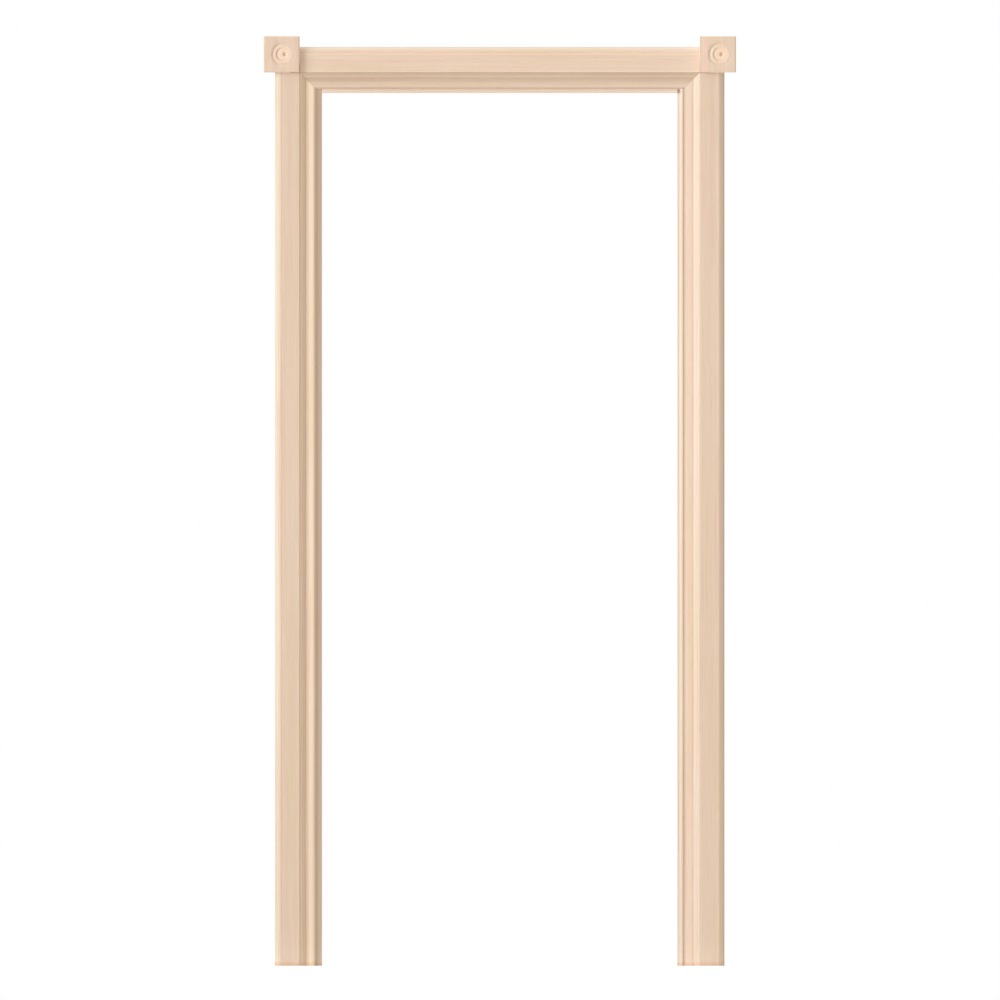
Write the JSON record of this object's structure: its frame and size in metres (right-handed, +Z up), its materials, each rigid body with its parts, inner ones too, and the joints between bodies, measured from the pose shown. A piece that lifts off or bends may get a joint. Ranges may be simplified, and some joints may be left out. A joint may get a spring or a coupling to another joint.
{
  "type": "door frame",
  "caption": "Moulded timber door frame with square rosette corner blocks, flat casings, a mitred inner moulding with a slope and a nosed band, and planted stops that a hinged leaf closes against.",
  "frame": {"origin": "on the floor, at the middle of the clear opening's width and of the frame's overall depth", "axes": "+Z up, -Y out of the moulded front face, +X to the right as seen from the front"},
  "size_m": [1.114, 0.13, 2.1915],
  "materials": {
    "face_timber": "planed and sanded, unfinished",
    "jamb_timber": "planed, unfinished",
    "peg_timber": "turned, unfinished",
    "nail_steel": "drawn wire, satin"
  },
  "bodies": {
    "root": {"jamb_left": "jamb_timber", "jamb_right": "jamb_timber", "head_jamb": "jamb_timber", "stop_left": "face_timber", "stop_right": "face_timber", "stop_head": "face_timber", "inner_moulding_left": "face_timber", "inner_moulding_right": "face_timber", "inner_moulding_head": "face_timber", "casing_left": "face_timber", "casing_right": "face_timber", "casing_head": "face_timber", "corner_block_left": "face_timber", "corner_block_right": "face_timber", "joint_peg_left_1": "peg_timber", "joint_peg_left_2": "peg_timber", "joint_peg_right_1": "peg_timber", "joint_peg_right_2": "peg_timber", "casing_left_nail_1": "nail_steel", "casing_left_nail_2": "nail_steel", "casing_left_nail_3": "nail_steel", "casing_left_nail_4": "nail_steel", "casing_left_nail_5": "nail_steel", "casing_right_nail_1": "nail_steel", "casing_right_nail_2": "nail_steel", "casing_right_nail_3": "nail_steel", "casing_right_nail_4": "nail_steel", "casing_right_nail_5": "nail_steel", "casing_head_nail_1": "nail_steel", "casing_head_nail_2": "nail_steel", "casing_head_nail_3": "nail_steel", "corner_block_left_nail_1": "nail_steel", "corner_block_left_nail_2": "nail_steel", "corner_block_right_nail_1": "nail_steel", "corner_block_right_nail_2": "nail_steel", "inner_moulding_left_nail_1": "nail_steel", "inner_moulding_left_nail_2": "nail_steel", "inner_moulding_left_nail_3": "nail_steel", "inner_moulding_left_nail_4": "nail_steel", "inner_moulding_right_nail_1": "nail_steel", "inner_moulding_right_nail_2": "nail_steel", "inner_moulding_right_nail_3": "nail_steel", "inner_moulding_right_nail_4": "nail_steel", "inner_moulding_head_nail_1": "nail_steel", "inner_moulding_head_nail_2": "nail_steel", "stop_left_nail_1": "nail_steel", "stop_left_nail_2": "nail_steel", "stop_left_nail_3": "nail_steel", "stop_left_nail_4": "nail_steel", "stop_right_nail_1": "nail_steel", "stop_right_nail_2": "nail_steel", "stop_right_nail_3": "nail_steel", "stop_right_nail_4": "nail_steel", "stop_head_nail_1": "nail_steel", "stop_head_nail_2": "nail_steel"}
  },
  "joints": []
}
